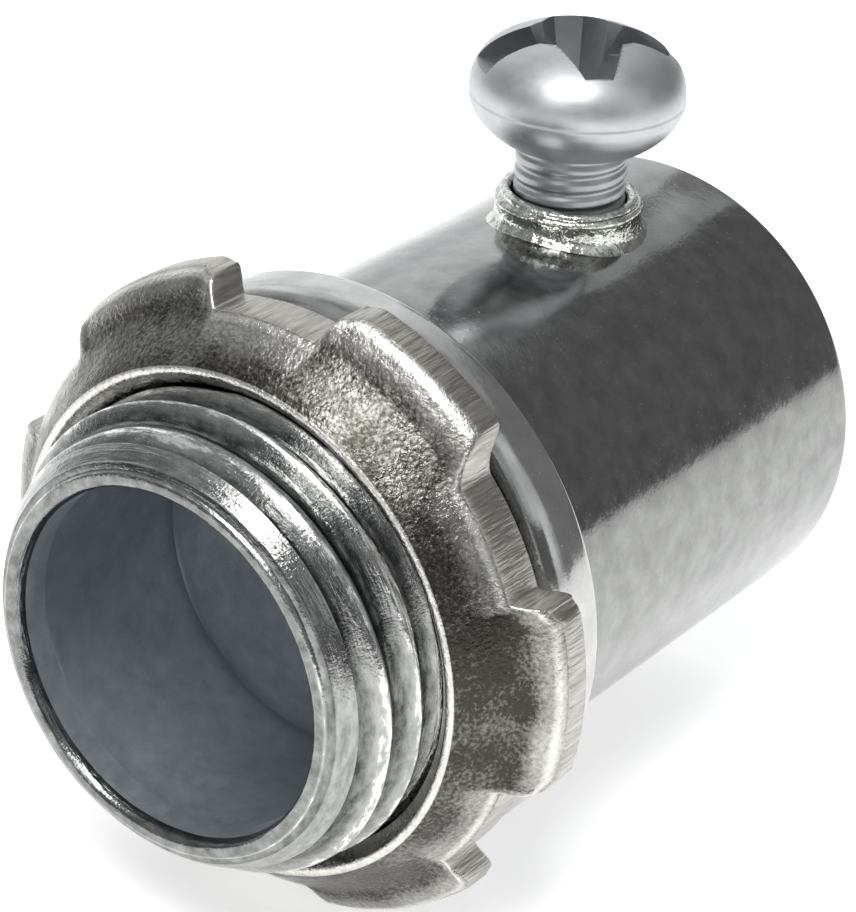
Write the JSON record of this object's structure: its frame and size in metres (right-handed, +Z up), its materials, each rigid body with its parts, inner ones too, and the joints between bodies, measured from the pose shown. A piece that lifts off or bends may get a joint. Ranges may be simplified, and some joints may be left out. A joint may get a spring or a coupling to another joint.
{
  "type": "set-screw conduit connector",
  "caption": "Steel set-screw connector for thin-wall conduit: threaded nose with lugged locknut, shoulder flange, plain barrel and a domed clamping screw in a drawn collar.",
  "frame": {"origin": "centre of the bore, in the plane of the shoulder face that meets a box wall", "axes": "+Y along the bore towards the conduit end, the threaded nose towards -Y, +Z up through the set screw"},
  "size_m": [0.03, 0.0375, 0.0352],
  "materials": {
    "zinc_body": "bright zinc plating, smooth drawn steel",
    "zinc_locknut": "zinc plating over grainy stamped steel",
    "zinc_screw": "bright bluish zinc plating"
  },
  "bodies": {
    "connector": {"connector_body": "zinc_body"},
    "locknut": {"locknut": "zinc_locknut"},
    "screw": {"set_screw": "zinc_screw"}
  },
  "joints": [
    {"name": "locknut_travel", "type": "slide", "parent": "connector", "child": "locknut", "axis": [0, -1, 0], "range_m": [-0.0009, 0.005]},
    {"name": "screw_travel", "type": "slide", "parent": "connector", "child": "screw", "axis": [0, 0, -1], "range_m": [-0.002, 0.0022]}
  ]
}
